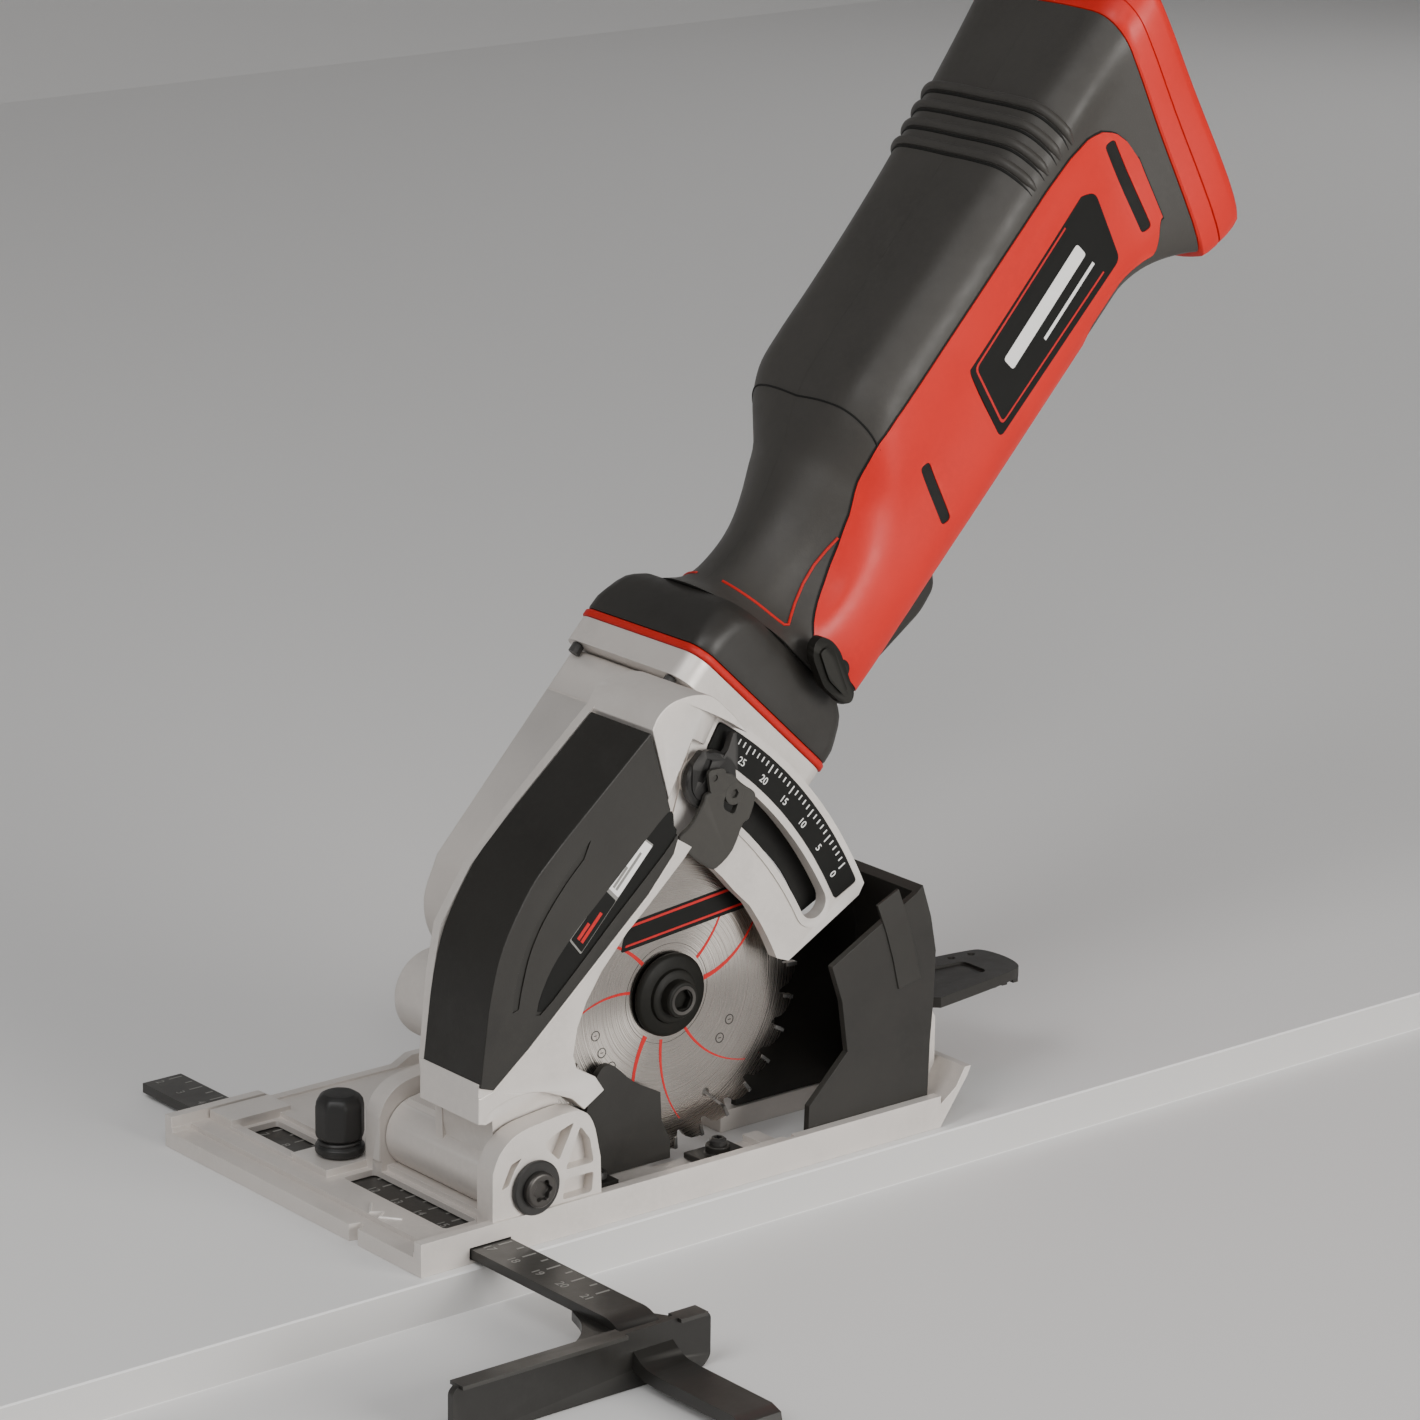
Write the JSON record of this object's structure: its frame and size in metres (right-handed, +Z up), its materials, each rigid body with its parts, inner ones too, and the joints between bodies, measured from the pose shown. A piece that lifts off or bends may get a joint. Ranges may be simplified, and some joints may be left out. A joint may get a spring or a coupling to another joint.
{
  "type": "circular saw",
  "caption": "Compact battery plunge saw: a leaning handle and gearcase on an arm that pivots on an alloy base plate, with a small blade, a depth stop arc and a parallel guide",
  "frame": {"origin": "middle of the sole of the base plate, on the surface that slides on the work", "axes": "+X along the base from its front edge to the handle end, +Y across it from the blade side to the far side, +Z up away from the work"},
  "size_m": [0.357, 0.2579, 0.3111],
  "materials": {
    "base_plate": "satin cast alloy",
    "pivot_bolt": "bright steel",
    "pivot_washer": "blackened steel",
    "pivot_nut": "bright steel",
    "plunge_spring": "bright steel",
    "rear_guard": "satin black plastic",
    "chip_guard": "satin black plastic",
    "rear_guard_screw": "bright steel",
    "chip_guard_screw": "bright steel",
    "release_pin": "bright steel",
    "parallel_guide": "dark satin paint",
    "guide_knob": "satin black plastic",
    "guide_clamp_screw": "bright steel",
    "release_lever": "moulded black plastic",
    "guard_casting": "satin cast alloy",
    "blade_cover": "satin black plastic",
    "depth_scale": "printed strip",
    "dust_port": "satin cast alloy",
    "gearcase": "satin cast alloy",
    "gear_flange": "satin cast alloy",
    "flange_screw_near": "bright steel",
    "flange_screw_far": "bright steel",
    "gasket": "soft red seal",
    "collar": "moulded black rubber-like plastic",
    "grip_shell_near": "soft black grip on black plastic",
    "grip_shell_far": "soft black grip on black plastic",
    "side_panel_near": "satin red plastic",
    "side_panel_far": "satin red plastic",
    "label_near": "printed film",
    "label_far": "printed film",
    "battery_dock": "satin red plastic",
    "terminal_block": "satin black plastic",
    "stator": "bright steel",
    "motor_end_plate": "moulded black plastic",
    "front_bearing": "bright steel",
    "rear_bearing": "bright steel",
    "spindle_bearing_near": "bright steel",
    "spindle_bearing_far": "bright steel",
    "circuit_board": "circuit laminate",
    "switch_body": "satin black plastic",
    "spindle": "bright steel",
    "blade": "bright steel",
    "blade_flange_inner": "blackened steel",
    "blade_flange_outer": "blackened steel",
    "blade_bolt": "bright steel",
    "crown_gear": "bright steel",
    "rotor_shaft": "bright steel",
    "rotor_core": "wound copper",
    "fan": "satin black plastic",
    "pinion": "hardened steel",
    "depth_stop_slider": "black enamel on steel",
    "depth_lever": "black enamel on zinc",
    "depth_stop_bolt": "bright steel",
    "trigger": "satin black plastic",
    "lock_off_lever": "satin black plastic",
    "spindle_lock_button": "satin black plastic"
  },
  "bodies": {
    "base": {"base_plate": "base_plate", "pivot_bolt": "pivot_bolt", "pivot_washer": "pivot_washer", "pivot_nut": "pivot_nut", "plunge_spring": "plunge_spring", "rear_guard": "rear_guard", "chip_guard": "chip_guard", "rear_guard_screw": "rear_guard_screw", "chip_guard_screw": "chip_guard_screw", "release_pin": "release_pin"},
    "guide": {"parallel_guide": "parallel_guide"},
    "guide_knob": {"guide_knob": "guide_knob", "guide_clamp_screw": "guide_clamp_screw"},
    "release_lever": {"release_lever": "release_lever"},
    "arm": {"guard_casting": "guard_casting", "blade_cover": "blade_cover", "depth_scale": "depth_scale", "dust_port": "dust_port", "gearcase": "gearcase", "gear_flange": "gear_flange", "flange_screw_near": "flange_screw_near", "flange_screw_far": "flange_screw_far", "gasket": "gasket", "collar": "collar", "grip_shell_near": "grip_shell_near", "grip_shell_far": "grip_shell_far", "side_panel_near": "side_panel_near", "side_panel_far": "side_panel_far", "label_near": "label_near", "label_far": "label_far", "battery_dock": "battery_dock", "terminal_block": "terminal_block", "stator": "stator", "motor_end_plate": "motor_end_plate", "front_bearing": "front_bearing", "rear_bearing": "rear_bearing", "spindle_bearing_near": "spindle_bearing_near", "spindle_bearing_far": "spindle_bearing_far", "circuit_board": "circuit_board", "switch_body": "switch_body"},
    "blade_group": {"spindle": "spindle", "blade": "blade", "blade_flange_inner": "blade_flange_inner", "blade_flange_outer": "blade_flange_outer", "blade_bolt": "blade_bolt", "crown_gear": "crown_gear"},
    "rotor": {"rotor_shaft": "rotor_shaft", "rotor_core": "rotor_core", "fan": "fan", "pinion": "pinion"},
    "depth_stop": {"depth_stop_slider": "depth_stop_slider"},
    "depth_lever": {"depth_lever": "depth_lever", "depth_stop_bolt": "depth_stop_bolt"},
    "trigger": {"trigger": "trigger"},
    "lock_off_lever": {"lock_off_lever": "lock_off_lever"},
    "spindle_lock_button": {"spindle_lock_button": "spindle_lock_button"}
  },
  "joints": [
    {"name": "plunge", "type": "hinge", "parent": "base", "child": "arm", "pos_m": [-0.0505, -0.02775, 0.0155], "axis": [0, 1, 0], "range_deg": [0, 31], "stiffness_Nm_per_rad": 4, "springref_deg": -60.16},
    {"name": "guide_slide", "type": "slide", "parent": "base", "child": "guide", "axis": [0, 1, 0], "range_m": [-0.06, 0.04]},
    {"name": "guide_knob_turn", "type": "hinge", "parent": "base", "child": "guide_knob", "pos_m": [-0.065, 0.00825, 0.0084], "axis": [0, 0, 1], "range_deg": [0, 180]},
    {"name": "release_press", "type": "hinge", "parent": "base", "child": "release_lever", "pos_m": [0.0905, -0.03375, 0.0262], "axis": [0, 1, 0], "range_deg": [0, 12], "stiffness_Nm_per_rad": 0.3, "springref_deg": -20.05},
    {"name": "blade_spin", "type": "hinge", "parent": "arm", "child": "blade_group", "pos_m": [0.0067, -0.03775, 0.0503], "axis": [0, 1, 0], "continuous": true},
    {"name": "rotor_spin", "type": "hinge", "parent": "arm", "child": "rotor", "pos_m": [0.0067, 0.01625, 0.0503], "axis": [0.682, 0, 0.7314], "continuous": true},
    {"name": "depth_stop_slide", "type": "hinge", "parent": "arm", "child": "depth_stop", "pos_m": [-0.0505, -0.04475, 0.0155], "axis": [0, 1, 0], "range_deg": [0, 25]},
    {"name": "depth_lever_turn", "type": "hinge", "parent": "depth_stop", "child": "depth_lever", "pos_m": [0.01123, -0.05125, 0.11056], "axis": [0, 1, 0], "range_deg": [-50, 0]},
    {"name": "trigger_press", "type": "hinge", "parent": "arm", "child": "trigger", "pos_m": [0.12843, 0.01625, 0.14052], "axis": [0, 1, 0], "range_deg": [0, 6], "stiffness_Nm_per_rad": 0.6, "springref_deg": -14.32},
    {"name": "lock_off_press", "type": "hinge", "parent": "arm", "child": "lock_off_lever", "pos_m": [0.08531, -0.01375, 0.1192], "axis": [0, 1, 0], "range_deg": [0, 8], "stiffness_Nm_per_rad": 0.15, "springref_deg": -17.19},
    {"name": "spindle_lock_press", "type": "slide", "parent": "arm", "child": "spindle_lock_button", "axis": [0.7314, 0, -0.682], "range_m": [0, 0.0025], "stiffness_N_per_m": 400, "springref_m": -0.002}
  ],
  "couplings": [
    {"joint": "rotor_spin", "follows": "blade_spin", "ratio": 3}
  ]
}
